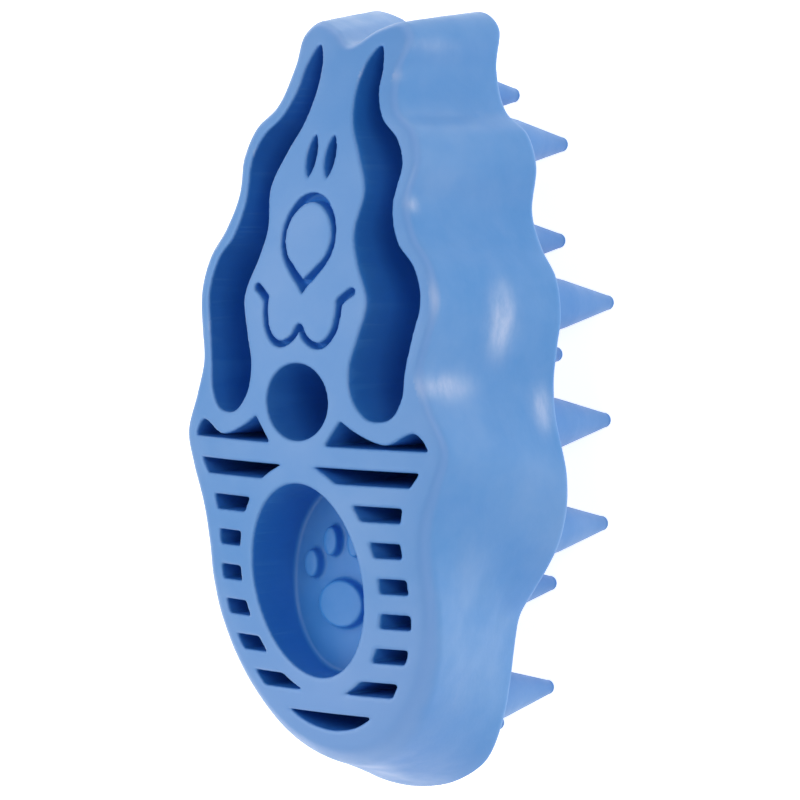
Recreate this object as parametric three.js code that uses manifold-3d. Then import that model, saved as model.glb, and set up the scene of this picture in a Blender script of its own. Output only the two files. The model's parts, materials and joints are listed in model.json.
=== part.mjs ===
// Palm grooming brush moulded in one piece from blue rubber: a domed, scalloped back with deep
// pockets, a flaring side wall, a tooth plate and twenty-five flexible conical teeth.
// Millimetres. +Z is up and out of the back, +Y is towards the head end, and the tooth tips
// stand on Z = 0. The regions of the moulding are separate solids, kept GAP apart.
import * as THREE from 'three';
import { mergeVertices } from 'three/addons/utils/BufferGeometryUtils.js';
import Module from 'manifold-3d';

const wasm = await Module();
wasm.setup();

// ---- Driving dimensions ----
const GAP = 0.3;
const BACK_HEIGHT = 54.9;
const TOOTH_LENGTH = 22.3;
const PLATE_THICKNESS = 6.8;
const EDGE_ROUND = 1.6;
const RIM_WIDTH = 2.3;

// The back is part of an ellipsoid with these semi-axes, its top a little towards the head.
const DOME = { x: 58, y: 80, z: 45, shiftY: 2 };

// Right half of the outline, head to tail: [back edge x, y, tooth-side edge x, y].
const OUTLINE = [
  [0, 54.8, 0, 56.6],
  [3.9, 57.1, 5.6, 59.5],
  [8, 58.3, 10.8, 60.4],
  [10.3, 56.2, 13.5, 58],
  [10.1, 51.2, 13.1, 51.5],
  [11.5, 45.3, 15, 45.4],
  [15.2, 41.8, 19.4, 41.8],
  [16.7, 37.4, 21.1, 37],
  [16.2, 31.5, 20.6, 30],
  [18.2, 26.3, 22.6, 24.5],
  [21.3, 22, 25.2, 20.3],
  [22.6, 16.6, 26.4, 14.2],
  [21.8, 10.9, 25.9, 9.5],
  [20.9, 6, 25.4, 4.5],
  [22.3, 1, 25.9, -0.8],
  [25, -5.4, 28.2, -9.5],
  [23.6, -10.7, 28.4, -15.2],
  [21.7, -16.2, 27, -21],
  [21.3, -22, 23, -27.8],
  [21.6, -28, 20.2, -32.4],
  [21.1, -33.9, 19.2, -38],
  [19.3, -39.7, 18.5, -43.2],
  [16.2, -45.6, 17.2, -49.6],
  [11.7, -50.8, 14.3, -55.4],
  [6.1, -54, 8.3, -59.2],
  [0, -55.1, 0, -60.6],
];
const OUTLINE_STEPS = 2;

// Right ear pocket: a closed curve from the tip down the inner edge, round the bottom and up
// beside the wall, where it runs past the panel's edge so that the wall is left bare.
const EAR = [
  [5.9, 54.7],
  [4.4, 52.5],
  [3.8, 48],
  [4.6, 43],
  [6.9, 38.2],
  [9, 32.8],
  [8.3, 26.5],
  [9.4, 22.2],
  [11.7, 16.2],
  [10.6, 10.8],
  [9.4, 6],
  [10.2, 1.2],
  [13.6, -1.7],
  [17, -0.9],
  [19.6, 2.5],
  [22, 8],
  [24, 16],
  [21, 24],
  [18, 30],
  [18, 38],
  [14, 44],
  [10, 50],
  [7.4, 54],
];

const ROUND_POCKET = { y: 0.8, radius: 6.1 };
const OVAL = { y: -26.7, halfWidth: 10.5, halfLength: 15, rim: 2.8, floorZ: 40.7 };
const EYE = { x: 1.75, y: 37.8, halfWidth: 0.95, halfLength: 3.4, depth: 9 };
const GROOVE = { width: 1.1, depth: 3 };

// The ribbed panel: slots of equal pitch between the oval rim and the side wall.
const SLOT = { firstTop: -9, pitch: 5.45, height: 2.3, count: 7 };
const BAR = { top: -5.7 };
const TAIL_SLOT = { top: -47.4, bottom: -50, halfWidth: 7.8 };

// The paw badge raised on the floor of the oval pocket.
const BADGE = { halfWidth: 8.8, halfLength: 10.5, thickness: 0.7, padHeight: 0.8 };
const PAW = {
  palm: { x: 0, y: -4, halfWidth: 4.4, halfLength: 3.8 },
  outerToe: { x: 5.9, y: 1.8, halfWidth: 1.5, halfLength: 2.3 },
  innerToe: { x: 2.3, y: 5.5, halfWidth: 1.5, halfLength: 2.4 },
};

// Teeth: crosswise rows, alternately on the centre line with the outer columns, and between them.
const COLUMNS = { centre: [0], middle: [-9.6, 9.6], outer: [-19.2, 19.2] };
const ROWS = [
  { y: 47.8, columns: ['centre'] },
  { y: 40.2, columns: ['middle'] },
  { y: 32.5, columns: ['centre'] },
  { y: 25, columns: ['middle'] },
  { y: 15.6, columns: ['centre', 'outer'] },
  { y: 7, columns: ['middle'] },
  { y: -2.9, columns: ['centre', 'outer'] },
  { y: -11, columns: ['middle'] },
  { y: -19.2, columns: ['centre', 'outer'] },
  { y: -29.4, columns: ['middle'] },
  { y: -37.5, columns: ['centre'] },
  { y: -46, columns: ['middle'] },
  { y: -52.6, columns: ['centre'] },
];
const TOOTH = {
  rootRadius: 5,
  tipRadius: 1.4,
  tipHeight: 0.6,
  flatRadius: 0.8,
  pivotDepth: 0.5,
  segments: 12,
};
const SOCKET_RADIUS = 5.45;

// ---- Heights that follow ----
const PLATE_BOTTOM = TOOTH_LENGTH;
const WIDEST_Z = PLATE_BOTTOM + EDGE_ROUND;
const PLATE_TOP = PLATE_BOTTOM + PLATE_THICKNESS;
const CORE_BOTTOM = PLATE_TOP + GAP;
const PIVOT_Z = PLATE_BOTTOM + TOOTH.pivotDepth;

// Cutting solids reach past the core on every side.
const CUT_BOTTOM = CORE_BOTTOM - 1;
const CUT_TOP = BACK_HEIGHT + 10;
const HALF_SPAN = 40;
const END_SPAN = 80;

// ---- Materials ----
function rubber(color, roughness) {
  return new THREE.MeshStandardMaterial({ color, roughness, metalness: 0 });
}
const bodyRubber = rubber(0x6d9ee0, 0.42);
const pocketRubber = rubber(0x4f84d0, 0.5);
const toothRubber = rubber(0x6c98dc, 0.45);

// ---- Helpers ----
function toSolid(geometry) {
  const bare = new THREE.BufferGeometry();
  bare.setAttribute('position', geometry.getAttribute('position').clone());
  if (geometry.index) {
    bare.setIndex(geometry.index.clone());
  }
  const merged = mergeVertices(bare, 1e-4);
  const mesh = new wasm.Mesh({
    numProp: 3,
    vertProperties: new Float32Array(merged.getAttribute('position').array),
    triVerts: new Uint32Array(merged.index.array),
  });
  return new wasm.Manifold(mesh);
}

function toGeometry(solid) {
  const mesh = solid.getMesh();
  const geometry = new THREE.BufferGeometry();
  geometry.setAttribute('position', new THREE.BufferAttribute(mesh.vertProperties, 3));
  geometry.setIndex(new THREE.BufferAttribute(mesh.triVerts, 1));
  geometry.computeVertexNormals();
  return geometry;
}

function backHeight(x, y) {
  const across = (x / DOME.x) ** 2;
  const along = ((y - DOME.shiftY) / DOME.y) ** 2;
  return BACK_HEIGHT - DOME.z + DOME.z * Math.sqrt(1 - across - along);
}

function toVector3(p) {
  return new THREE.Vector3(p.x, p.y, 0);
}

function points(list) {
  return list.map(([x, y]) => new THREE.Vector2(x, y));
}

function closedCurve(corners, steps) {
  const knots = corners.map(toVector3);
  const curve = new THREE.CatmullRomCurve3(knots, true);
  const samples = curve.getPoints(corners.length * steps).slice(0, -1);
  return samples.map((p) => new THREE.Vector2(p.x, p.y));
}

function openCurve(corners, steps) {
  const knots = corners.map(([x, y]) => new THREE.Vector3(x, y, 0));
  const samples = new THREE.CatmullRomCurve3(knots).getPoints(steps);
  return samples.map((p) => new THREE.Vector2(p.x, p.y));
}

function mirrored(list) {
  return list.map((p) => new THREE.Vector2(-p.x, p.y)).reverse();
}

// The whole outline, counter-clockwise from the tail, at the back or at the tooth side.
function outline(side) {
  const column = side === 'back' ? 0 : 2;
  const right = points(OUTLINE.map((row) => row.slice(column, column + 2)));
  const up = right.slice().reverse();
  const down = mirrored(up.slice(1, -1));
  return closedCurve(up.concat(down), OUTLINE_STEPS);
}

function sideNormals(line, closed) {
  return line.map((p, i) => {
    const before = closed ? line.at(i - 1) : line[Math.max(i - 1, 0)];
    const after = closed ? line[(i + 1) % line.length] : line[Math.min(i + 1, line.length - 1)];
    const along = after.clone().sub(before).normalize();
    return new THREE.Vector2(along.y, -along.x);
  });
}

function offset(line, distance, closed = true) {
  const normals = sideNormals(line, closed);
  return line.map((p, i) => p.clone().addScaledVector(normals[i], distance));
}

function distanceToLine(p, line) {
  let nearest = Infinity;
  line.forEach((start, i) => {
    const segment = new THREE.Line3(toVector3(start), toVector3(line[(i + 1) % line.length]));
    const foot = segment.closestPointToPoint(toVector3(p), true, new THREE.Vector3());
    nearest = Math.min(nearest, foot.distanceTo(toVector3(p)));
  });
  return nearest;
}

// An offset inwards, without the loops that an offset makes in tight corners.
function inset(line, distance) {
  return offset(line, -distance).filter((p) => distanceToLine(p, line) > distance * 0.96);
}

function prism(shape, bottom, top) {
  const geometry = new THREE.ExtrudeGeometry(shape, { depth: top - bottom, bevelEnabled: false });
  geometry.translate(0, 0, bottom);
  return toSolid(geometry);
}

function block(x0, x1, y0, y1) {
  const height = CUT_TOP - CUT_BOTTOM;
  const box = new THREE.BoxGeometry(x1 - x0, y1 - y0, height);
  box.translate((x0 + x1) / 2, (y0 + y1) / 2, CUT_BOTTOM + height / 2);
  return toSolid(box);
}

function ellipse(y, halfWidth, halfLength, count) {
  const shape = new THREE.Shape();
  shape.absellipse(0, y, halfWidth, halfLength, 0, 2 * Math.PI);
  return new THREE.Shape(shape.getPoints(count).slice(0, -1));
}

function ribbon(line, width) {
  const left = offset(line, width / 2, false);
  const right = offset(line, -width / 2, false).reverse();
  return new THREE.Shape(left.concat(right));
}

// ---- Shared solids ----
const backOutline = outline('back');
const sideOutline = outline('tooth side');
const wallInside = inset(backOutline, RIM_WIDTH);

function dome() {
  const ball = new THREE.SphereGeometry(1, 72, 48);
  ball.rotateX(Math.PI / 2);
  ball.scale(DOME.x, DOME.y, DOME.z);
  ball.translate(0, DOME.shiftY, BACK_HEIGHT - DOME.z);
  return toSolid(ball);
}

// Everything inside the side wall and under the back, above the tooth plate.
function makeCore() {
  const plan = new THREE.Shape(inset(backOutline, RIM_WIDTH + GAP));
  return prism(plan, CORE_BOTTOM, CUT_TOP).intersect(dome());
}
const core = makeCore();

// ---- Side wall ----
function flareAt(i, height, top) {
  const share = (height - WIDEST_Z) / (top - WIDEST_Z);
  return sideOutline[i].clone().lerp(backOutline[i], share);
}

function sideWall() {
  const shape = new THREE.Shape(backOutline);
  shape.holes.push(new THREE.Path(wallInside));
  const geometry = new THREE.ExtrudeGeometry(shape, { depth: 1, steps: 2, bevelEnabled: false });
  const place = geometry.getAttribute('position');
  const key = (x, y) => `${x.toFixed(3)},${y.toFixed(3)}`;
  const order = new Map(backOutline.map((p, i) => [key(p.x, p.y), i]));
  for (let v = 0; v < place.count; v += 1) {
    const x = place.getX(v);
    const y = place.getY(v);
    const top = backHeight(x, y);
    const height = THREE.MathUtils.lerp(CORE_BOTTOM, top, place.getZ(v));
    const i = order.get(key(x, y));
    const spot = i === undefined ? new THREE.Vector2(x, y) : flareAt(i, height, top);
    place.setXYZ(v, spot.x, spot.y, height);
  }
  return geometry;
}

// ---- Tooth plate with a round socket at each tooth root ----
function plateLevels() {
  const rounded = offset(sideOutline, -EDGE_ROUND);
  const shoulder = offset(sideOutline, -EDGE_ROUND * 0.3);
  const upper = sideOutline.map((p, i) => {
    return flareAt(i, PLATE_TOP, backHeight(backOutline[i].x, backOutline[i].y));
  });
  return [
    { line: rounded, z: PLATE_BOTTOM },
    { line: shoulder, z: PLATE_BOTTOM + EDGE_ROUND * 0.3 },
    { line: sideOutline, z: WIDEST_Z },
    { line: upper, z: PLATE_TOP },
  ];
}

function plateBlank() {
  const levels = plateLevels();
  const steps = levels.length - 1;
  const shape = new THREE.Shape(sideOutline);
  const geometry = new THREE.ExtrudeGeometry(shape, { depth: steps, steps, bevelEnabled: false });
  const place = geometry.getAttribute('position');
  const key = (x, y) => `${x.toFixed(3)},${y.toFixed(3)}`;
  const order = new Map(sideOutline.map((p, i) => [key(p.x, p.y), i]));
  for (let v = 0; v < place.count; v += 1) {
    const i = order.get(key(place.getX(v), place.getY(v)));
    const level = levels[Math.round(place.getZ(v))];
    place.setXYZ(v, level.line[i].x, level.line[i].y, level.z);
  }
  return toSolid(geometry);
}

function socket(x, y) {
  const ball = new THREE.SphereGeometry(SOCKET_RADIUS, TOOTH.segments, 8);
  ball.rotateX(Math.PI / 2);
  ball.translate(x, y, PIVOT_Z);
  return toSolid(ball);
}

function toothPlate() {
  let plate = plateBlank();
  for (const tooth of teethPlaces()) {
    plate = plate.subtract(socket(tooth.x, tooth.y));
  }
  return toGeometry(plate);
}

// ---- Teeth ----
function teethPlaces() {
  const places = [];
  ROWS.forEach((row, r) => {
    const across = row.columns.flatMap((name) => COLUMNS[name]);
    across.sort((a, b) => a - b);
    across.forEach((x, n) => {
      const name = `tooth_${String(r + 1).padStart(2, '0')}_${n + 1}`;
      places.push({ name, x, y: row.y });
    });
  });
  return places;
}

// Profile from the flat tip up to the plate, then round the ball that turns in the socket.
function toothGeometry() {
  const ballRadius = Math.hypot(TOOTH.rootRadius, TOOTH.pivotDepth);
  const profile = [
    new THREE.Vector2(0, 0),
    new THREE.Vector2(TOOTH.flatRadius, 0),
    new THREE.Vector2(TOOTH.tipRadius, TOOTH.tipHeight),
    new THREE.Vector2(TOOTH.rootRadius, PLATE_BOTTOM),
  ];
  for (const degrees of [30, 60]) {
    const angle = THREE.MathUtils.degToRad(degrees);
    const radius = ballRadius * Math.cos(angle);
    profile.push(new THREE.Vector2(radius, PIVOT_Z + ballRadius * Math.sin(angle)));
  }
  profile.push(new THREE.Vector2(0, PIVOT_Z + ballRadius));
  const geometry = new THREE.LatheGeometry(profile, TOOTH.segments);
  geometry.rotateX(Math.PI / 2);
  return geometry;
}

// ---- Face panel ----
function earCutters() {
  const right = closedCurve(points(EAR), 2);
  const left = mirrored(right);
  return [right, left].map((line) => prism(new THREE.Shape(line), CUT_BOTTOM, CUT_TOP));
}

function eyeCutter(side) {
  const shape = ellipse(EYE.y, EYE.halfWidth, EYE.halfLength, 12);
  const floor = backHeight(EYE.x, EYE.y) - EYE.depth;
  return prism(shape, floor, CUT_TOP).translate([side * EYE.x, 0, 0]);
}

function noseGroove() {
  const loop = points([[0, 31.5], [3.4, 29.6], [4.9, 26], [4.1, 22.2], [0, 18.2]]);
  const whole = loop.concat(mirrored(loop.slice(1, -1)));
  const line = closedCurve(whole, 3).reverse();
  const shape = new THREE.Shape(offset(line, GROOVE.width / 2));
  shape.holes.push(new THREE.Path(offset(line, -GROOVE.width / 2)));
  return prism(shape, backHeight(0, 25) - GROOVE.depth, CUT_TOP);
}

function mouthGroove() {
  const right = [[0, 12], [1.6, 10.1], [3.8, 9.3], [6.2, 11.3], [7, 15.6], [9.2, 17.9]];
  const left = right.slice(1).map(([x, y]) => [-x, y]).reverse();
  const line = openCurve(left.concat(right), 30);
  return prism(ribbon(line, GROOVE.width), backHeight(0, 13) - GROOVE.depth, CUT_TOP);
}

// The slot under each ear pocket: its upper edge follows the bottom of the pocket.
function collarSlot(side) {
  const upper = [[5.2, BAR.top], [8, -2], [11, -3.2], [14, -3.7], [17.6, -3.2], [24, 1.2]];
  const line = openCurve(upper, 12).map((p) => new THREE.Vector2(side * p.x, p.y));
  line.push(new THREE.Vector2(side * 26, BAR.top - 1));
  line.push(new THREE.Vector2(side * 5.2, BAR.top - 1));
  const shape = new THREE.Shape(line);
  return prism(shape, CUT_BOTTOM, CUT_TOP);
}

function facePanel() {
  let panel = core.intersect(block(-HALF_SPAN, HALF_SPAN, BAR.top + GAP / 2, END_SPAN));
  const cutters = [
    ...earCutters(),
    pad(0, ROUND_POCKET.y, ROUND_POCKET.radius, ROUND_POCKET.radius, CUT_BOTTOM, CUT_TOP, 28),
    eyeCutter(-1),
    eyeCutter(1),
    noseGroove(),
    mouthGroove(),
    collarSlot(-1),
    collarSlot(1),
  ];
  for (const cutter of cutters) {
    panel = panel.subtract(cutter);
  }
  return toGeometry(panel);
}

// ---- Ribbed panel ----
function slotTop(n) {
  return SLOT.firstTop - SLOT.pitch * n;
}

function crossBar() {
  return toGeometry(core.intersect(block(-HALF_SPAN, HALF_SPAN, slotTop(0), BAR.top - GAP / 2)));
}

function ovalCollar() {
  const outer = ellipse(OVAL.y, OVAL.halfWidth + OVAL.rim, OVAL.halfLength + OVAL.rim + 0.3, 20);
  const inner = ellipse(OVAL.y, OVAL.halfWidth, OVAL.halfLength, 20);
  const tailEdge = slotTop(SLOT.count) + SLOT.pitch - SLOT.height;
  const collar = core.intersect(prism(outer, CUT_BOTTOM, CUT_TOP));
  const trimmed = collar.intersect(block(-HALF_SPAN, HALF_SPAN, tailEdge + GAP / 2, slotTop(0) - GAP));
  return toGeometry(trimmed.subtract(prism(inner, OVAL.floorZ, CUT_TOP)));
}

function rib(n, side) {
  const top = slotTop(n) - SLOT.height;
  const bottom = slotTop(n + 1);
  const half = side < 0 ? block(-HALF_SPAN, 0, bottom, top) : block(0, HALF_SPAN, bottom, top);
  const reach = OVAL.rim + GAP;
  const hub = ellipse(OVAL.y, OVAL.halfWidth + reach, OVAL.halfLength + reach + 0.3, 20);
  return toGeometry(core.intersect(half).subtract(prism(hub, CUT_BOTTOM, CUT_TOP)));
}

function tailCap() {
  const top = slotTop(SLOT.count) + SLOT.pitch - SLOT.height - GAP / 2;
  const slot = new THREE.Shape();
  slot.moveTo(-TAIL_SLOT.halfWidth, TAIL_SLOT.top);
  slot.quadraticCurveTo(0, 2 * TAIL_SLOT.bottom - TAIL_SLOT.top, TAIL_SLOT.halfWidth, TAIL_SLOT.top);
  const cap = core.intersect(block(-HALF_SPAN, HALF_SPAN, -END_SPAN, top));
  return toGeometry(cap.subtract(prism(slot, CUT_BOTTOM, CUT_TOP)));
}

// ---- Paw badge ----
function pad(x, y, halfWidth, halfLength, bottom, top, segments = 14) {
  const disc = new THREE.CylinderGeometry(1, 1, top - bottom, segments);
  disc.rotateX(Math.PI / 2);
  disc.scale(halfWidth, halfLength, 1);
  disc.translate(x, y, (bottom + top) / 2);
  return toSolid(disc);
}

function pawBadge() {
  const bottom = OVAL.floorZ + GAP;
  const face = bottom + BADGE.thickness;
  const top = face + BADGE.padHeight;
  const raised = ({ x, y, halfWidth, halfLength }, side) =>
    pad(side * x, OVAL.y + y, halfWidth, halfLength, bottom, top);
  let badge = pad(0, OVAL.y, BADGE.halfWidth, BADGE.halfLength, bottom, face);
  badge = badge.add(raised(PAW.palm, 1));
  for (const side of [-1, 1]) {
    badge = badge.add(raised(PAW.outerToe, side));
    badge = badge.add(raised(PAW.innerToe, side));
  }
  return toGeometry(badge);
}

// ---- Assembly ----
const brush = new THREE.Group();

function addNode(name, geometry, material, x = 0, y = 0) {
  const mesh = new THREE.Mesh(geometry, material);
  mesh.name = name;
  mesh.position.set(x, y, 0);
  brush.add(mesh);
}

addNode('side_wall', sideWall(), bodyRubber);
addNode('tooth_plate', toothPlate(), bodyRubber);
addNode('face_panel', facePanel(), bodyRubber);
addNode('cross_bar', crossBar(), bodyRubber);
addNode('oval_collar', ovalCollar(), bodyRubber);
addNode('tail_cap', tailCap(), bodyRubber);
addNode('paw_badge', pawBadge(), pocketRubber);
for (let n = 0; n < SLOT.count - 1; n += 1) {
  addNode(`rib_left_${n + 1}`, rib(n, -1), bodyRubber);
  addNode(`rib_right_${n + 1}`, rib(n, 1), bodyRubber);
}
for (const tooth of teethPlaces()) {
  addNode(tooth.name, toothGeometry(), toothRubber, tooth.x, tooth.y);
}

export default brush;
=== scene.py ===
"""Looks for the palm grooming brush: one continuous rubber moulding and twenty-five flexible teeth.

The moulding is worked out as a signed distance field on a grid, with a real fillet on every edge,
and its surface is drawn out as a mesh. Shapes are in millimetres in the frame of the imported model,
and become metres when a mesh is made.
"""

import json
import math

import bpy
import numpy as np
from mathutils import Matrix, Vector


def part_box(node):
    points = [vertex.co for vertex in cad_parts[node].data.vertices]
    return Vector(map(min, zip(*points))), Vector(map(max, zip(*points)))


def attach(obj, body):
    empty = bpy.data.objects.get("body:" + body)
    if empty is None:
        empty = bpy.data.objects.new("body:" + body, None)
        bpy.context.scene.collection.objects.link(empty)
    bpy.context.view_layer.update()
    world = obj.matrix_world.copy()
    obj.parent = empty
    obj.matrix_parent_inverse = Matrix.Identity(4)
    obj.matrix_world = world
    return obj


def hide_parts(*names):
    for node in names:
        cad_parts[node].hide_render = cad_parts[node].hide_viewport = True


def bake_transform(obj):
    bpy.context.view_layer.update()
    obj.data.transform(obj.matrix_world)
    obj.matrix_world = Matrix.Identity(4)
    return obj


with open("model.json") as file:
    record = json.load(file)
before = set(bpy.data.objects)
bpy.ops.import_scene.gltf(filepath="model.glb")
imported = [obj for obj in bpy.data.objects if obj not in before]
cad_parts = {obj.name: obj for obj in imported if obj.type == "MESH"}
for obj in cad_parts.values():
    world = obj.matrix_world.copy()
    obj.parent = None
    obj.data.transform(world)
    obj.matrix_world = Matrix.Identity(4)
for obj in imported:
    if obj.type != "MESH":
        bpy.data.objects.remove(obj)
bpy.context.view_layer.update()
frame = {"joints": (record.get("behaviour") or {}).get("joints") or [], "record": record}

# ---- Driving dimensions ----
MM = 0.001
PLATE_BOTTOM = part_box("tooth_plate")[0].z / MM
POCKET_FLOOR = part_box("tooth_plate")[1].z / MM
BACK_HEIGHT = 54.9
EDGE_ROUND = 1.6
WIDEST_Z = PLATE_BOTTOM + EDGE_ROUND

# The round where the back meets the side wall, how much it grows towards the tail, and where.
SHOULDER = 1.05
SHOULDER_GROWTH = 1.35
SHOULDER_TURN_Y = -20
SHOULDER_TURN_LENGTH = 5

# The back is part of this ellipsoid, its top a little towards the head.
DOME_X = 58
DOME_Y = 80
DOME_Z = 45
DOME_SHIFT = 2

# Right half of the outline, head to tail: back edge x, y, then tooth-side edge x, y.
OUTLINE = [
    (0, 54.8, 0, 56.6),
    (3.9, 57.1, 5.6, 59.5),
    (8, 58.3, 10.8, 60.4),
    (10.3, 56.2, 13.5, 58),
    (10.1, 51.2, 13.1, 51.5),
    (11.5, 45.3, 15, 45.4),
    (15.2, 41.8, 19.4, 41.8),
    (16.7, 37.4, 21.1, 37),
    (16.2, 31.5, 20.6, 30),
    (18.2, 26.3, 22.6, 24.5),
    (21.3, 22, 25.2, 20.3),
    (22.6, 16.6, 26.4, 14.2),
    (21.8, 10.9, 25.9, 9.5),
    (20.9, 6, 25.4, 4.5),
    (22.3, 1, 25.9, -0.8),
    (25, -5.4, 28.2, -9.5),
    (23.6, -10.7, 28.4, -15.2),
    (21.7, -16.2, 27, -21),
    (21.3, -22, 23, -27.8),
    (21.6, -28, 20.2, -32.4),
    (21.1, -33.9, 19.2, -38),
    (19.3, -39.7, 18.5, -43.2),
    (16.2, -45.6, 17.2, -49.6),
    (11.7, -50.8, 14.3, -55.4),
    (6.1, -54, 8.3, -59.2),
    (0, -55.1, 0, -60.6),
]

# Right ear pocket, from its tip down the inner edge, round the bottom and up beside the wall.
EAR = [
    (5.9, 54.7),
    (4.4, 52.5),
    (3.8, 48),
    (4.6, 43),
    (6.9, 38.2),
    (9, 32.8),
    (8.3, 26.5),
    (9.4, 22.2),
    (11.7, 16.2),
    (10.6, 10.8),
    (9.4, 6),
    (10.1, 1.6),
    (12.9, -1.4),
    (16.3, -1.1),
    (18.1, 1.8),
    (18.5, 6),
    (19.4, 11.5),
    (20.2, 16.6),
    (18.7, 21.6),
    (15.7, 25.2),
    (14, 30.5),
    (14.3, 37.2),
    (12.6, 40.8),
    (9.6, 43.6),
    (7.8, 47.5),
    (7.3, 51.5),
]

# Pockets narrow with depth by the draft; their edges and floors are rounded.
POCKET_DRAFT = 0.012
POCKET_EDGE = 0.35
POCKET_FLOOR_ROUND = 1.0
FINE_DRAFT = 0.02

ROUND_POCKET_Y = 0.7
ROUND_POCKET_RADIUS = 5.85
OVAL_Y = -26.7
OVAL_HALF_WIDTH = 10.5
OVAL_HALF_LENGTH = 15.0
OVAL_RIM = 2.8
OVAL_RIM_EXTRA_LENGTH = 0.3
OVAL_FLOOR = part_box("paw_badge")[0].z / MM
OVAL_FLOOR_ROUND = 0.6

SLOT_TOP = -9.0
SLOT_PITCH = 5.45
SLOT_HEIGHT = 2.3
SLOT_COUNT = 7
SLOT_CORNER = 0.3
SLOT_CORNER_AT_RIM = 0.15

# Where the slots stop short of the side wall, head to tail.
SLOT_ENDS = [
    (22.5, -6.5),
    (20.9, -9),
    (19.5, -11.1),
    (18, -14.6),
    (17.4, -20),
    (17.8, -26),
    (17.7, -31.5),
    (16.4, -36.6),
    (13.6, -42),
    (10.5, -46.5),
]

# The curved lower edge of the slot at the tail end.
TAIL_SLOT = [(-8, -47.4), (-4.5, -49.3), (0, -50.1), (4.5, -49.3), (8, -47.4)]

# The slot under the right ear pocket: its lower edge is straight along the cross bar.
BAR_TOP = -5.7
COLLAR_INNER_X = 5.3
COLLAR_OUTER_X = 22.3
COLLAR_PEAK = (8.1, -1.8)
COLLAR_DIP = [(9.9, -3), (11.9, -4), (14, -4.8), (15.7, -5.05), (17.1, -4.6), (18.3, -3.8)]
COLLAR_LOBE = [(20.1, -3.1), (21.2, -3.8), (21.9, -4.8)]

# The nose groove's two edges: the lower tip and the right half of each, and then its top.
NOSE_OUTER = [(0, 17), (0.9, 18.2), (2.7, 20.1), (4.4, 22.5), (5.1, 25)]
NOSE_OUTER += [(4.85, 27.6), (3.8, 29.9), (2.1, 31.7)]
NOSE_OUTER_TOP = (0, 32.3)
NOSE_INNER = [(0, 19.2), (1.8, 20.9), (3.5, 22.7), (4.3, 25), (4.1, 27.2), (3.2, 29), (1.7, 30.4)]
NOSE_INNER_TOP = (0, 30.9)
NOSE_CORNER = 0.15
MOUTH = [(0, 12.1), (1, 10.6), (2.4, 9.6), (3.8, 9.3), (5.2, 10), (6.3, 11.5), (6.85, 13.5), (7, 15.9)]
MOUTH_CORNER = [(7, 16.1), (8, 17), (9, 17.7)]
MOUTH_WIDTH = 0.95
MOUTH_CORNER_WIDTH = 1.25
GROOVE_DEPTH = 2.4
GROOVE_EDGE = 0.2
GROOVE_FLOOR_ROUND = 0.25
EYE_X = 1.77
EYE_Y = 37.8
EYE_HALF_WIDTH = 0.95
EYE_HALF_LENGTH = 3.4
EYE_DEPTH = 8
EYE_EDGE = 0.3
EYE_CORNER = 0.2

# The paw emblem's right half: pad centres from the oval's centre, and half sizes.
PAW_PADS = [
    (0, -4, 4.4, 3.8),
    (5.9, 1.8, 1.5, 2.3),
    (2.3, 5.5, 1.5, 2.4),
]
PAW_HEIGHT = 1.8
PAW_SUNK = 1
PAW_SUNK_ROUND = 0.1
PAW_DRAFT = 0.1
PAW_EDGE = 0.35
PAW_ROOT_ROUND = 0.25

# Painted shade: below the outside the rubber is painted a deeper blue, in place of the painted sheen,
# fully this far below the outside.
PAINTED_SHADE_DEPTH = 0.7
# A painted sheen, standing in for a highlight, is strongest on the shoulder, where the surface's upward
# part is near this.
SHEEN_ON_SHOULDER = 0.6
SHEEN_LEAN = 0.6
SHEEN_LEAN_RANGE = 0.25
# There is less painted sheen on the back, where it grows as the surface faces up, and from here on it
# grows towards the tail.
SHEEN_ON_BACK = 0.3
SHEEN_GROWTH = 0.45
SHEEN_GROWTH_Y = -25
SHEEN_GROWTH_LENGTH = 20
# Painted light: the floors of the pockets, deeper than this, are painted a little paler than their
# walls.
FLOOR_DEPTH = 5
PAINTED_FLOOR_LIGHT = 0.7
# Painted shade: the wall that faces tailwards is painted with this share of the pockets' deeper colour.
PAINTED_TAIL_SHADE = 0.95
# The painted highlights and the tail's painted shade reach no deeper than this below the outside, and
# the painted highlights sit only on walls that face sideways.
SKIN_DEPTH = 0.4
SIDEWAYS = 0.4

# Painted highlights, pale patches on the side wall: middle y and z, half length along y, half height,
# strength.
HIGHLIGHT_PATCHES = [
    (13.8, 36, 4.6, 2.4, 0.95),
    (3.9, 47, 1.7, 5, 0.8),
    (0.2, 26.3, 3, 1.9, 0.8),
    (17, 50.2, 2.6, 0.7, 0.45),
    (31, 48.6, 1.1, 1.0, 0.55),
    (50.4, 45.5, 0.9, 1.6, 0.5),
    (55, 38, 1.2, 5, 0.25),
    (-24, 40, 6, 3, 0.1),
    (-44, 36, 5, 4, 0.12),
]
HIGHLIGHT_PATCH_SHIFT = 7

# Fineness: the grid's cell, the most faces in the body, the levels between the two outlines,
# and the steps between two points of each kind of curve.
CELL = 0.35
FACE_BUDGET = 196000
WALL_LEVELS = 5
OUTLINE_STEPS = 18
EAR_STEPS = 24
FINE_STEPS = 6
ELLIPSE_POINTS = 720
TOOTH_SEGMENTS = 48
# The grid reaches this far from the middle, a little past the body.
REACH_X = 31
REACH_Y = 63
REACH_PAST_Z = 1.5
# A surface point is pulled onto the surface so many times, by at most this part of a cell.
PULLS = 4
LONGEST_PULL = 0.3


# ---- Curves and plan distances ----


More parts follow.
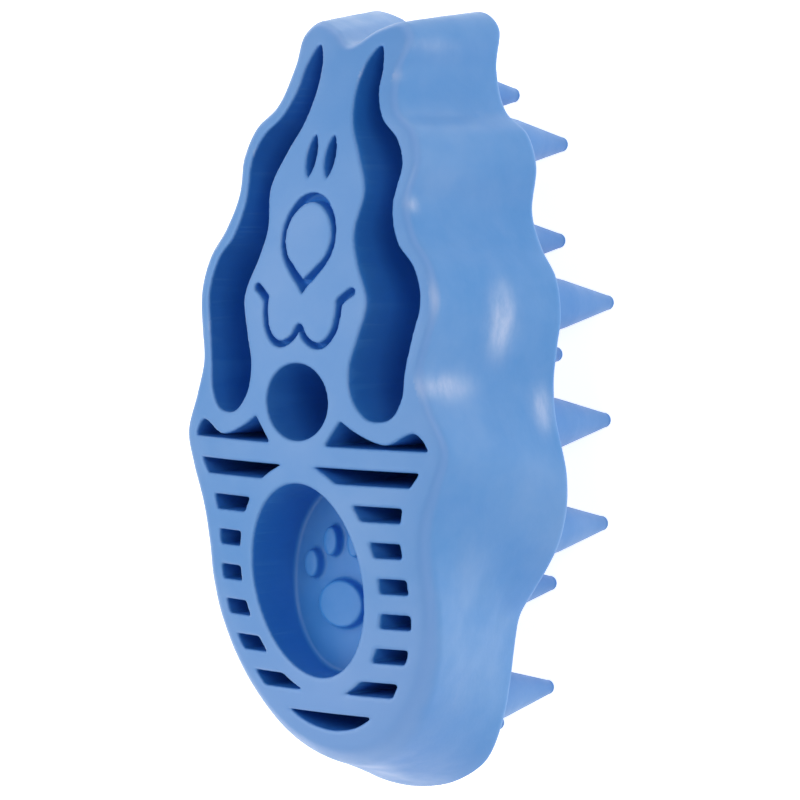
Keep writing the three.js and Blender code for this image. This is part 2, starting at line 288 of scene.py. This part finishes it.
def spline(corners, steps, closed):
    """Points along a centripetal Catmull-Rom curve, the same number in every span."""
    knots = np.array(corners, float)
    count = len(knots)
    if not closed:
        knots = np.vstack([2 * knots[0] - knots[1], knots, 2 * knots[-1] - knots[-2]])
    made = []
    for i in range(count if closed else count - 1):
        first = i - 1 if closed else i
        p = [knots[(first + k) % len(knots)] for k in range(4)]
        gaps = [max(np.linalg.norm(p[k + 1] - p[k]), 1e-6) ** 0.5 for k in range(3)]
        leave = (p[1] - p[0]) / gaps[0] - (p[2] - p[0]) / (gaps[0] + gaps[1])
        leave = (leave + (p[2] - p[1]) / gaps[1]) * gaps[1]
        arrive = (p[2] - p[1]) / gaps[1] - (p[3] - p[1]) / (gaps[1] + gaps[2])
        arrive = (arrive + (p[3] - p[2]) / gaps[2]) * gaps[1]
        for t in np.arange(steps) / steps:
            rise = 3 * t * t - 2 * t**3
            point = p[1] * (1 - rise) + p[2] * rise
            made.append(point + leave * (t - 2 * t * t + t**3) + arrive * (t**3 - t * t))
    if not closed:
        made.append(knots[-2])
    return np.array(made)


def mirrored(points):
    return [(-x, y) for x, y in points[::-1]]


def outline(share):
    """The whole outline at share 0 (tooth side) to 1 (back), counter-clockwise."""
    rows = np.array(OUTLINE, float)
    right = (rows[:, 2:] * (1 - share) + rows[:, :2] * share)[::-1]
    left = right[1:-1][::-1] * (-1, 1)
    return spline(np.vstack([right, left]), OUTLINE_STEPS, closed=True)


def line_distance(line, x, y, closed=True):
    """Distance to a line of points; inside a closed one it is negative."""
    nearest = np.full(x.shape, 1e9)
    inside = np.zeros(x.shape, bool)
    ends = np.roll(line, -1, axis=0) if closed else line[1:]
    for (ax, ay), (bx, by) in zip(line, ends):
        dx, dy = bx - ax, by - ay
        along = np.clip(((x - ax) * dx + (y - ay) * dy) / (dx * dx + dy * dy), 0, 1)
        gap = (x - ax - along * dx) ** 2 + (y - ay - along * dy) ** 2
        nearest = np.minimum(nearest, gap)
        if closed and dy != 0:
            crosses = (ay > y) != (by > y)
            inside ^= crosses & (x < ax + (y - ay) * dx / dy)
    nearest = np.sqrt(nearest)
    return np.where(inside, -nearest, nearest) if closed else nearest


def ellipse_distance(x, y, centre_y, half_width, half_length):
    turn = np.linspace(0, 2 * math.pi, ELLIPSE_POINTS, endpoint=False)
    line = np.stack([half_width * np.cos(turn), centre_y + half_length * np.sin(turn)], axis=1)
    return line_distance(line, x, y)


def meet(a, b, radius):
    """Where both fields are inside, with a rounded edge of that radius."""
    corner = np.hypot(np.maximum(a + radius, 0), np.maximum(b + radius, 0))
    return np.minimum(np.maximum(a, b), -radius) + corner


def cut(body, hollow, radius):
    return meet(body, -hollow, radius)


def add(a, b, radius):
    return -meet(-a, -b, radius)


# ---- Plan of the back ----


def dome_height(x, y):
    inside = 1 - (x / DOME_X) ** 2 - ((y - DOME_SHIFT) / DOME_Y) ** 2
    return BACK_HEIGHT - DOME_Z + DOME_Z * np.sqrt(np.maximum(inside, 0.05))


def slots_plan(x, y):
    """The slots between the ribs, from the oval rim out to the wall's rim."""
    ends = spline(SLOT_ENDS, FINE_STEPS, closed=False)
    panel = line_distance(np.vstack([ends, ends[::-1] * (-1, 1)]), x, y)
    rim_length = OVAL_HALF_LENGTH + OVAL_RIM + OVAL_RIM_EXTRA_LENGTH
    rim = ellipse_distance(x, y, OVAL_Y, OVAL_HALF_WIDTH + OVAL_RIM, rim_length)
    strips = np.full(x.shape, 1e9)
    for n in range(SLOT_COUNT):
        middle = SLOT_TOP - SLOT_PITCH * n - SLOT_HEIGHT / 2
        strips = np.minimum(strips, np.abs(y - middle) - SLOT_HEIGHT / 2)
    return meet(meet(panel, -rim, SLOT_CORNER_AT_RIM), strips, SLOT_CORNER)


def tail_slot_plan(x, y):
    """A crescent: a curved lower edge, closed by a straight upper one."""
    return line_distance(spline(TAIL_SLOT, 8, closed=False), x, y)


def collar_slot_plan(x, y):
    upper = spline([COLLAR_PEAK] + COLLAR_DIP + COLLAR_LOBE, FINE_STEPS, closed=False)
    line = np.vstack([[(COLLAR_INNER_X, BAR_TOP)], upper, [(COLLAR_OUTER_X, BAR_TOP)]])
    return line_distance(line, x, y)


def deep_plan(x, y):
    """Everything that is cut down to the tooth plate."""
    ear = line_distance(spline(EAR, EAR_STEPS, closed=True), x, y)
    pocket = np.hypot(x, y - ROUND_POCKET_Y) - ROUND_POCKET_RADIUS
    parts = [ear, pocket, slots_plan(x, y), tail_slot_plan(x, y), collar_slot_plan(x, y)]
    return np.minimum.reduce(parts)


def eye_plan(x, y):
    """A slit with two pointed ends, where two circles overlap."""
    radius = (EYE_HALF_WIDTH**2 + EYE_HALF_LENGTH**2) / (2 * EYE_HALF_WIDTH)
    shift = radius - EYE_HALF_WIDTH
    left = np.hypot(x - EYE_X + shift, y - EYE_Y) - radius
    right = np.hypot(x - EYE_X - shift, y - EYE_Y) - radius
    return meet(left, right, EYE_CORNER)


def groove_plan(x, y):
    outer = NOSE_OUTER + [NOSE_OUTER_TOP] + mirrored(NOSE_OUTER)
    inner = NOSE_INNER + [NOSE_INNER_TOP] + mirrored(NOSE_INNER)
    outer = spline(outer, FINE_STEPS, closed=False)[:-1]
    inner = spline(inner, FINE_STEPS, closed=False)[:-1]
    nose = meet(line_distance(outer, x, y), -line_distance(inner, x, y), NOSE_CORNER)
    mouth = spline(mirrored(MOUTH)[:-1] + MOUTH, FINE_STEPS, closed=False)
    mouth = line_distance(mouth, x, y, closed=False)
    corner = line_distance(spline(MOUTH_CORNER, 4, closed=False), x, y, closed=False)
    return np.minimum.reduce([nose, mouth - MOUTH_WIDTH / 2, corner - MOUTH_CORNER_WIDTH / 2])


def paw_plan(x, y):
    pads = [
        ellipse_distance(x - across, y, OVAL_Y + along, half_width, half_length)
        for across, along, half_width, half_length in PAW_PADS
    ]
    return np.minimum.reduce(pads)


# ---- The body's field ----


def axis(low, high):
    return np.arange(math.floor(low / CELL), math.ceil(high / CELL) + 1) * CELL


def wall_field(x, y, z, top):
    """Distance to the flaring side wall, from outlines at a few shares of its height."""
    shares = np.linspace(0, 1, WALL_LEVELS)
    stack = np.stack([line_distance(outline(s), x, y) for s in shares])
    share = np.clip((z - WIDEST_Z) / (top - WIDEST_Z), 0, 1) * (len(shares) - 1)
    lower = np.minimum(share.astype(int), len(shares) - 2)
    part = share - lower
    field = np.zeros(share.shape)
    for k in range(len(shares) - 1):
        level = stack[k][..., None] * (1 - part) + stack[k + 1][..., None] * part
        field = np.where(lower == k, level, field)
    return field


def swells(x, y, z):
    """The slight unevenness of moulded rubber, a few hundredths of a millimetre."""
    slow = np.sin(0.31 * y + 0.9 * np.sin(0.17 * z)) * np.sin(0.23 * z + 0.11 * y)
    quick = np.sin(0.83 * y + 0.57 * z + 0.4 * x) * np.sin(0.71 * z - 0.29 * y)
    return 0.07 * slow + 0.025 * quick


def body_field(x, y, z):
    """The moulding's right half, with and without what is cut into it.

    x and y are plan grids and z is a column of heights.
    """
    top = dome_height(x, y)[..., None]
    heights = z[None, None, :]
    depth = top - heights
    slope_x, slope_y = np.gradient(top[..., 0], CELL, CELL)
    level = 1 / np.sqrt(1 + slope_x**2 + slope_y**2)[..., None]
    headwards = np.exp((y[..., None] - SHOULDER_TURN_Y) / SHOULDER_TURN_LENGTH)
    shoulder = SHOULDER + SHOULDER_GROWTH / (1 + headwards)
    wall = wall_field(x, y, heights, top) + swells(x[..., None], y[..., None], heights)
    body = meet(wall, -depth * level, shoulder)
    body = meet(body, PLATE_BOTTOM - heights, EDGE_ROUND)
    skin = body
    deep = deep_plan(x, y)[..., None] + POCKET_DRAFT * depth
    body = cut(body, meet(deep, POCKET_FLOOR - heights, POCKET_FLOOR_ROUND), POCKET_EDGE)
    oval = ellipse_distance(x, y, OVAL_Y, OVAL_HALF_WIDTH, OVAL_HALF_LENGTH)[..., None]
    oval = oval + FINE_DRAFT * depth
    body = cut(body, meet(oval, OVAL_FLOOR - heights, OVAL_FLOOR_ROUND), POCKET_EDGE)
    eye = eye_plan(x, y)[..., None] + FINE_DRAFT * depth
    body = cut(body, meet(eye, depth - EYE_DEPTH, EYE_EDGE), EYE_EDGE)
    groove = groove_plan(x, y)[..., None] + FINE_DRAFT * depth
    body = cut(body, meet(groove, depth - GROOVE_DEPTH, GROOVE_FLOOR_ROUND), GROOVE_EDGE)
    lift = heights - OVAL_FLOOR
    paw = meet(paw_plan(x, y)[..., None] + PAW_DRAFT * lift, lift - PAW_HEIGHT, PAW_EDGE)
    paw = meet(paw, -PAW_SUNK - lift, PAW_SUNK_ROUND)
    return add(body, paw, PAW_ROOT_ROUND), skin


# ---- Surface of a field ----

CORNERS = np.array([(i, j, k) for i in (0, 1) for j in (0, 1) for k in (0, 1)])
EDGES = [(a, b) for a in range(8) for b in range(a, 8) if np.abs(CORNERS[a] - CORNERS[b]).sum() == 1]


def sample(field, place):
    """The field, read between its grid points, at places given in cells."""
    base = np.clip(place.astype(int), 0, np.array(field.shape) - 2)
    part = place - base
    value = np.zeros(len(place))
    for corner in CORNERS:
        value += field[tuple((base + corner).T)] * np.where(corner, part, 1 - part).prod(1)
    return value


def slope(field, place):
    """The field's slope, over a whole cell each way, so that errors between grid points cancel."""
    return np.stack([sample(field, place + w) - sample(field, place - w) for w in np.eye(3)], axis=1) / 2


def surface_points(field, cells):
    """One point in each cell that the zero surface crosses, pulled onto it, in cells."""
    values = np.stack([field[tuple((cells + c).T)] for c in CORNERS], axis=1)
    total = np.zeros((len(cells), 3))
    hits = np.zeros(len(cells))
    for a, b in EDGES:
        va, vb = values[:, a], values[:, b]
        crossed = (va < 0) != (vb < 0)
        t = np.where(crossed, va / np.where(crossed, va - vb, 1), 0)[:, None]
        total += np.where(crossed[:, None], CORNERS[a] + t * (CORNERS[b] - CORNERS[a]), 0)
        hits += crossed
    place = cells + total / hits[:, None]
    for _ in range(PULLS):
        step = slope(field, place)
        length = np.maximum((step**2).sum(1), 0.25 * CELL**2)
        move = (sample(field, place) / length)[:, None] * step
        place = np.clip(place - np.clip(move, -LONGEST_PULL, LONGEST_PULL), cells, cells + 1)
    return place


def surface_quads(inside, cells):
    """A quad of four cells' points round each grid line that the surface crosses."""
    number = np.full(np.array(inside.shape) - 1, -1, np.int64)
    number[tuple(cells.T)] = np.arange(len(cells))
    quads = []
    for k in range(3):
        ahead = [slice(None)] * 3
        behind = [slice(None)] * 3
        ahead[k] = slice(1, None)
        behind[k] = slice(None, -1)
        spots = np.argwhere(inside[tuple(behind)] != inside[tuple(ahead)])
        ring = []
        for du, dv in ((-1, -1), (0, -1), (0, 0), (-1, 0)):
            shift = np.zeros(3, int)
            shift[(k + 1) % 3] = du
            shift[(k + 2) % 3] = dv
            ring.append(number[tuple((spots + shift).T)])
        ring = np.stack(ring, axis=1)
        outward = inside[tuple(spots.T)]
        quads.append(np.where(outward[:, None], ring, ring[:, ::-1]))
    return np.vstack(quads)


def surface(field):
    """The zero surface's points, in cells from the field's first grid point, and its quads."""
    inside = field < 0
    shape = np.array(field.shape) - 1
    count = np.zeros(shape, np.int8)
    for corner in CORNERS:
        count += inside[tuple(slice(c, c + n) for c, n in zip(corner, shape))]
    cells = np.argwhere((count > 0) & (count < 8))
    return surface_points(field, cells), surface_quads(inside, cells)


# ---- Moulded body ----


def highlight_patches(x, y, z):
    """How strong the painted highlights on the wall are at each point; the left side's patches sit a
    little further headwards.
    """
    along = np.where(x > 0, y, y - HIGHLIGHT_PATCH_SHIFT)
    total = np.zeros(x.shape)
    for middle, height, length, rise, strength in HIGHLIGHT_PATCHES:
        spot = np.exp(-(((along - middle) / length) ** 2) - ((z - height) / rise) ** 2)
        total = np.maximum(total, strength * spot)
    return total


def link(name, mesh):
    made = bpy.data.objects.new(name, mesh)
    bpy.context.scene.collection.objects.link(made)
    return made


def thinned(mesh, share):
    """The same mesh with fewer faces, most of them left where it curves."""
    rough = link("thinning", mesh)
    modifier = rough.modifiers.new("thin", "DECIMATE")
    modifier.ratio = share
    seen = rough.evaluated_get(bpy.context.evaluated_depsgraph_get())
    made = bpy.data.meshes.new_from_object(seen)
    bpy.data.objects.remove(rough)
    return made


def field_mesh(field, origin):
    """The field's surface as a mesh in metres, within the budget of faces."""
    place, quads = surface(field)
    mesh = bpy.data.meshes.new("moulded_body")
    mesh.from_pydata(((place * CELL + origin) * MM).tolist(), [], quads.tolist())
    share = FACE_BUDGET / (2 * len(quads))
    if share < 1:
        mesh = thinned(mesh, share)
    mesh.name = "moulded_body"
    mesh.shade_smooth()
    return mesh


def painted_light_marks(spots, normals, below):
    """How much painted shade, painted sheen and painted highlight the rubber gets at each point."""
    up = np.clip(normals[:, 2], 0, 1)
    outside = np.clip(1 - below / SKIN_DEPTH, 0, 1)
    # Painted shade: the wall that faces tailwards gets the pockets' deeper colour too, darkening it.
    tail_wall = (1 - up) * np.clip(-1.3 * normals[:, 1] - 0.3, 0, 1)
    # Painted shade: rubber below the outside is painted a deeper blue, standing in for the shade in the
    # pockets.
    painted_shade = np.maximum(np.clip(below / PAINTED_SHADE_DEPTH, 0, 1), PAINTED_TAIL_SHADE * outside * tail_wall)
    # Painted sheen: a paler colour where the surface faces up, on the shoulder and towards the tail,
    # standing in for highlights.
    tailwards = np.clip((SHEEN_GROWTH_Y - spots[:, 1]) / SHEEN_GROWTH_LENGTH, 0, 1)
    on_back = (SHEEN_ON_BACK + SHEEN_GROWTH * tailwards) * up**2
    on_shoulder = SHEEN_ON_SHOULDER * np.exp(-(((up - SHEEN_LEAN) / SHEEN_LEAN_RANGE) ** 2))
    painted_sheen = (1 - painted_shade) * np.clip(on_back + on_shoulder, 0, 1)
    # Painted highlights: pale patches on walls that face sideways.
    painted_highlight = highlight_patches(*spots.T) * outside * (np.abs(normals[:, 0]) > SIDEWAYS)
    # Painted light: pocket floors that face up lose part of the painted shade and come out paler.
    painted_shade *= 1 - PAINTED_FLOOR_LIGHT * up * (below > FLOOR_DEPTH)
    return {"painted_shade": painted_shade, "painted_sheen": painted_sheen, "painted_highlight": painted_highlight}


def moulded_body():
    """The whole moulding but its teeth, with its true normals and its painted shade, sheen and
    highlights at each point.
    """
    xs = axis(0, REACH_X)
    ys = axis(-REACH_Y, REACH_Y)
    zs = axis(PLATE_BOTTOM - REACH_PAST_Z, BACK_HEIGHT + REACH_PAST_Z)
    x, y = np.meshgrid(xs, ys, indexing="ij")
    half, skin = body_field(x, y, zs)
    whole = np.concatenate([half[:0:-1], half])
    skin = np.concatenate([skin[:0:-1], skin])
    origin = np.array([-xs[-1], ys[0], zs[0]])
    mesh = field_mesh(whole, origin)
    spots = np.empty(len(mesh.vertices) * 3)
    mesh.vertices.foreach_get("co", spots)
    spots = spots.reshape(-1, 3) / MM
    place = (spots - origin) / CELL
    normals = slope(whole, place)
    normals /= np.maximum(np.linalg.norm(normals, axis=1), 1e-9)[:, None]
    mesh.normals_split_custom_set_from_vertices(normals.tolist())
    for name, values in painted_light_marks(spots, normals, -sample(skin, place)).items():
        mesh.attributes.new(name, "FLOAT", "POINT").data.foreach_set("value", values)
    return link("moulded_body", mesh)


# ---- Teeth ----

# The tip is a flat with a rounded rim; above it is the cone, which is less steep near the plate.
TIP_FLAT = 0.5
TIP_ROUND = 0.66
TIP_RIM = 0.68
CONE_FOOT_RADIUS = 1.22
CONE_FOOT_Z = 1.0
CONE_TOP_RADIUS = 3.9
CONE_TOP_Z = 14
NECK_SLOPE = 0.15
ROOT_FILLET = 1.2


def tooth_profile():
    """Radius and height from the middle of the tip to the root inside the plate."""
    rows = [(0.0, 0.0), (TIP_FLAT, 0.0)]
    for turn in np.radians(np.linspace(-75, 12, 8)):
        rows.append((TIP_FLAT + TIP_RIM * math.cos(turn), TIP_ROUND + TIP_ROUND * math.sin(turn)))
    for z in np.linspace(1.4, CONE_TOP_Z, 14):
        grown = (CONE_TOP_RADIUS - CONE_FOOT_RADIUS) * (z - CONE_FOOT_Z) / (CONE_TOP_Z - CONE_FOOT_Z)
        rows.append((CONE_FOOT_RADIUS + grown, z))
    for z in np.linspace(CONE_TOP_Z + 1, PLATE_BOTTOM - ROOT_FILLET, 6):
        rows.append((CONE_TOP_RADIUS + NECK_SLOPE * (z - CONE_TOP_Z), z))
    root = rows[-1][0]
    fillet_foot = PLATE_BOTTOM - ROOT_FILLET + 0.05
    for turn in np.radians((20, 40, 60, 80)):
        rows.append((root + 0.8 * (1 - math.cos(turn)), fillet_foot + ROOT_FILLET * math.sin(turn)))
    rows.append((root + 0.9, PLATE_BOTTOM + 0.4))
    rows.append((0.0, PLATE_BOTTOM + 0.5))
    return rows


def tooth(node):
    """A closed, turned mesh that stands where the node stands."""
    low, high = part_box(node)
    x = (low.x + high.x) / 2
    y = (low.y + high.y) / 2
    rows = tooth_profile()
    points = [(x, y, rows[0][1] * MM)]
    for radius, z in rows[1:-1]:
        for turn in np.linspace(0, 2 * math.pi, TOOTH_SEGMENTS, endpoint=False):
            points.append((x + radius * MM * math.cos(turn), y + radius * MM * math.sin(turn), z * MM))
    points.append((x, y, rows[-1][1] * MM))
    rings = len(rows) - 2
    faces = []
    for s in range(TOOTH_SEGMENTS):
        after = (s + 1) % TOOTH_SEGMENTS
        faces.append((0, 1 + after, 1 + s))
        for r in range(rings - 1):
            a = 1 + r * TOOTH_SEGMENTS
            b = a + TOOTH_SEGMENTS
            faces.append((a + s, a + after, b + after, b + s))
        a = 1 + (rings - 1) * TOOTH_SEGMENTS
        faces.append((len(points) - 1, a + s, a + after))
    mesh = bpy.data.meshes.new("rubber_" + node)
    mesh.from_pydata(points, [], faces)
    mesh.shade_smooth()
    return link("rubber_" + node, mesh)


# ---- Materials ----

OUTSIDE_BLUES = [(0.045, 0.235, 0.585), (0.075, 0.262, 0.605), (0.115, 0.295, 0.625)]
# Painted shade: the deeper blues of the pockets.
PAINTED_SHADE_BLUES = [(0.03, 0.205, 0.62), (0.045, 0.225, 0.64)]
TOOTH_BLUES = [(0.06, 0.228, 0.57), (0.075, 0.245, 0.58), (0.09, 0.26, 0.59)]
# Painted sheen colour.
PAINTED_SHEEN_BLUE = (0.2, 0.37, 0.73)
# Painted highlight colour, and the streaks that break the painted highlights up.
PAINTED_HIGHLIGHT_BLUE = (0.5, 0.6, 0.82)
HIGHLIGHT_BREAKUP = [(0.3, (0.4, 0.4, 0.4)), (0.65, (1, 1, 1))]

# Noise scales, in waves a metre: cloudy colour, streaks in the painted highlights, patchy gloss, and two
# bumps.
CLOUD_SCALE = 60
HIGHLIGHT_BREAKUP_SCALE = 420
HIGHLIGHT_BREAKUP_STRETCH = (1, 0.4, 1)
PATCH_SCALE = 140
WAVE_SCALE = 170
GRAIN_SCALE = 2400
GLOSS_RANGE = 0.09
PAINTED_SHADE_SHINE = 0.4


def node_tree(name):
    material = bpy.data.materials.new(name)
    material.use_nodes = True
    return material, material.node_tree.nodes, material.node_tree.links


def noise(nodes, links, coordinates, scale, detail=3.0, roughness=0.5):
    texture = nodes.new("ShaderNodeTexNoise")
    texture.inputs["Scale"].default_value = scale
    texture.inputs["Detail"].default_value = detail
    texture.inputs["Roughness"].default_value = roughness
    links.new(coordinates, texture.inputs["Vector"])
    return texture.outputs["Fac"]


def ramp(nodes, links, factor, stops):
    made = nodes.new("ShaderNodeValToRGB")
    elements = made.color_ramp.elements
    while len(elements) < len(stops):
        elements.new(0.5)
    for element, (place, colour) in zip(elements, stops):
        element.position = place
        element.color = (*colour, 1)
    links.new(factor, made.inputs["Fac"])
    return made.outputs["Color"]


def bump(nodes, links, height, distance, strength, below=None):
    made = nodes.new("ShaderNodeBump")
    made.inputs["Strength"].default_value = strength
    made.inputs["Distance"].default_value = distance
    links.new(height, made.inputs["Height"])
    if below is not None:
        links.new(below, made.inputs["Normal"])
    return made.outputs["Normal"]


def blended(nodes, links, factor, first, second):
    """One colour turning into another as the factor goes from 0 to 1."""
    made = nodes.new("ShaderNodeMixRGB")
    links.new(factor, made.inputs["Fac"])
    links.new(first, made.inputs["Color1"])
    links.new(second, made.inputs["Color2"])
    return made.outputs["Color"]


def plain(nodes, colour):
    made = nodes.new("ShaderNodeRGB")
    made.outputs["Color"].default_value = (*colour, 1)
    return made.outputs["Color"]


def attribute(nodes, name):
    made = nodes.new("ShaderNodeAttribute")
    made.attribute_name = name
    return made.outputs["Fac"]


def product(nodes, links, first, second):
    made = nodes.new("ShaderNodeMath")
    made.operation = "MULTIPLY"
    links.new(first, made.inputs[0])
    links.new(second, made.inputs[1])
    return made.outputs["Value"]


def mapped(nodes, links, factor, low, high, start=0, end=1):
    """The factor, brought to low where it is start and to high where it is end."""
    made = nodes.new("ShaderNodeMapRange")
    made.inputs["From Min"].default_value = start
    made.inputs["From Max"].default_value = end
    made.inputs["To Min"].default_value = low
    made.inputs["To Max"].default_value = high
    links.new(factor, made.inputs["Value"])
    return made.outputs["Result"]


def rubber_colour(nodes, links, coordinates, shade_factor, colours, shade_colours):
    """Cloudy colour, painted a deeper blue as shade in the pockets, under the painted sheen and the
    painted highlight patches.
    """
    cloud = noise(nodes, links, coordinates, CLOUD_SCALE, 4, 0.55)
    outside = ramp(nodes, links, cloud, list(zip((0.32, 0.5, 0.68), colours)))
    # Painted shade: the pockets' deeper blues, mixed in by the painted shade attribute.
    deep = ramp(nodes, links, cloud, list(zip((0.32, 0.68), shade_colours)))
    colour = blended(nodes, links, shade_factor, outside, deep)
    # Painted sheen: the paler blue mixed in on the back and shoulder.
    colour = blended(nodes, links, attribute(nodes, "painted_sheen"), colour, plain(nodes, PAINTED_SHEEN_BLUE))
    # Painted highlights: pale streaked patches on the side wall.
    stretched = nodes.new("ShaderNodeVectorMath")
    stretched.operation = "MULTIPLY"
    stretched.inputs[1].default_value = HIGHLIGHT_BREAKUP_STRETCH
    links.new(coordinates, stretched.inputs[0])
    streaks = noise(nodes, links, stretched.outputs["Vector"], HIGHLIGHT_BREAKUP_SCALE, 5, 0.65)
    painted_highlight = product(nodes, links, attribute(nodes, "painted_highlight"), ramp(nodes, links, streaks, HIGHLIGHT_BREAKUP))
    return blended(nodes, links, painted_highlight, colour, plain(nodes, PAINTED_HIGHLIGHT_BLUE))


def rubber(name, colours, shade_colours, roughness, shininess):
    """Moulded rubber: soft gloss, cloudy colour, a fine uneven skin, and deeper blue pockets painted as
    shade.
    """
    material, nodes, links = node_tree(name)
    shader = nodes["Principled BSDF"]
    coordinates = nodes.new("ShaderNodeTexCoord").outputs["Object"]
    shade_factor = attribute(nodes, "painted_shade")
    colour = rubber_colour(nodes, links, coordinates, shade_factor, colours, shade_colours)
    links.new(colour, shader.inputs["Base Color"])
    patches = noise(nodes, links, coordinates, PATCH_SCALE, 5, 0.6)
    dull = mapped(nodes, links, patches, roughness - GLOSS_RANGE, roughness + GLOSS_RANGE, 0.3, 0.7)
    links.new(dull, shader.inputs["Roughness"])
    # The specular level is lowered where the pockets' shade is painted.
    shine = mapped(nodes, links, shade_factor, shininess, PAINTED_SHADE_SHINE * shininess)
    links.new(shine, shader.inputs["Specular IOR Level"])
    shader.inputs["IOR"].default_value = 1.5
    shader.inputs["Subsurface Weight"].default_value = 0.05
    shader.inputs["Subsurface Radius"].default_value = (0.3, 0.6, 1.0)
    shader.inputs["Subsurface Scale"].default_value = 0.001
    waves = noise(nodes, links, coordinates, WAVE_SCALE, 3, 0.5)
    waves = bump(nodes, links, waves, 0.0005, 0.22)
    grain = noise(nodes, links, coordinates, GRAIN_SCALE, 2, 0.5)
    grain = bump(nodes, links, grain, 0.00008, 0.12, waves)
    links.new(grain, shader.inputs["Normal"])
    return material


# ---- Studio ----

CAMERA_ANGLES = (37, 3.39, -1.35)
CAMERA_AIM = (3.84, 0.52, BACK_HEIGHT - 21.17)
CAMERA_DISTANCE = 0.765
LIGHT_COLOUR = (1, 0.95, 0.91)
FLOOR_HALF = 4
FLOOR_DROP = 0.0002


def camera():
    """The long axis stands upright in the picture, seen from the +X side and a little headwards."""
    yaw, pitch, roll = (math.radians(a) for a in CAMERA_ANGLES)
    turn = Matrix.Rotation(roll, 3, "Z") @ Matrix.Rotation(pitch, 3, "X")
    turn = turn @ Matrix.Rotation(-yaw, 3, "Y")
    place = Vector(CAMERA_AIM) * MM + turn.row[2] * CAMERA_DISTANCE
    data = bpy.data.cameras.new("camera")
    data.sensor_width = 36
    data.lens = 223.7
    data.clip_start = 0.01
    data.clip_end = 20
    made = bpy.data.objects.new("camera", data)
    bpy.context.scene.collection.objects.link(made)
    made.matrix_world = Matrix.Translation(place) @ turn.transposed().to_4x4()
    bpy.context.scene.camera = made


def area_light(name, place, size, power, aim=(0, 0, 0.03)):
    data = bpy.data.lights.new(name, "AREA")
    data.shape = "RECTANGLE"
    data.size, data.size_y = size
    data.energy = power
    data.color = LIGHT_COLOUR
    made = bpy.data.objects.new(name, data)
    bpy.context.scene.collection.objects.link(made)
    made.location = place
    made.rotation_euler = (Vector(aim) - Vector(place)).to_track_quat("-Z", "Y").to_euler()


def studio():
    mesh = bpy.data.meshes.new("floor")
    corners = [(x * FLOOR_HALF, y * FLOOR_HALF, 0) for x, y in ((-1, -1), (1, -1), (1, 1), (-1, 1))]
    mesh.from_pydata(corners, [], [(0, 1, 2, 3)])
    floor = link("floor", mesh)
    floor.location.z = -FLOOR_DROP
    material, nodes, _ = node_tree("floor")
    shader = nodes["Principled BSDF"]
    shader.inputs["Base Color"].default_value = (0.9, 0.9, 0.9, 1)
    shader.inputs["Roughness"].default_value = 0.9
    shader.inputs["Emission Color"].default_value = (1, 0.985, 0.96, 1)
    shader.inputs["Emission Strength"].default_value = 0.82
    mesh.materials.append(material)
    world = bpy.data.worlds.new("studio")
    world.use_nodes = True
    background = world.node_tree.nodes["Background"]
    background.inputs["Color"].default_value = (0.88, 0.94, 1, 1)
    background.inputs["Strength"].default_value = 0.3
    bpy.context.scene.world = world
    area_light("key", (-0.3, -0.05, 0.92), (1.6, 1.6), 12)
    area_light("side", (0.62, 0.2, 0.5), (0.14, 0.3), 0.9)
    bpy.context.scene.view_settings.view_transform = "Standard"


# ---- Assembly ----

camera()
studio()

body_rubber = rubber("body_rubber", OUTSIDE_BLUES, PAINTED_SHADE_BLUES, 0.38, 0.45)
tooth_rubber = rubber("tooth_rubber", TOOTH_BLUES, PAINTED_SHADE_BLUES, 0.42, 0.3)

bodies = frame["record"]["behaviour"]["bodies"]
body = moulded_body()
body.data.materials.append(body_rubber)
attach(body, "root")
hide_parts(*bodies["root"])

for joint in frame["joints"]:
    for node in bodies[joint["child"]]:
        made = tooth(node)
        made.data.materials.append(tooth_rubber)
        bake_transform(made)
        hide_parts(node)
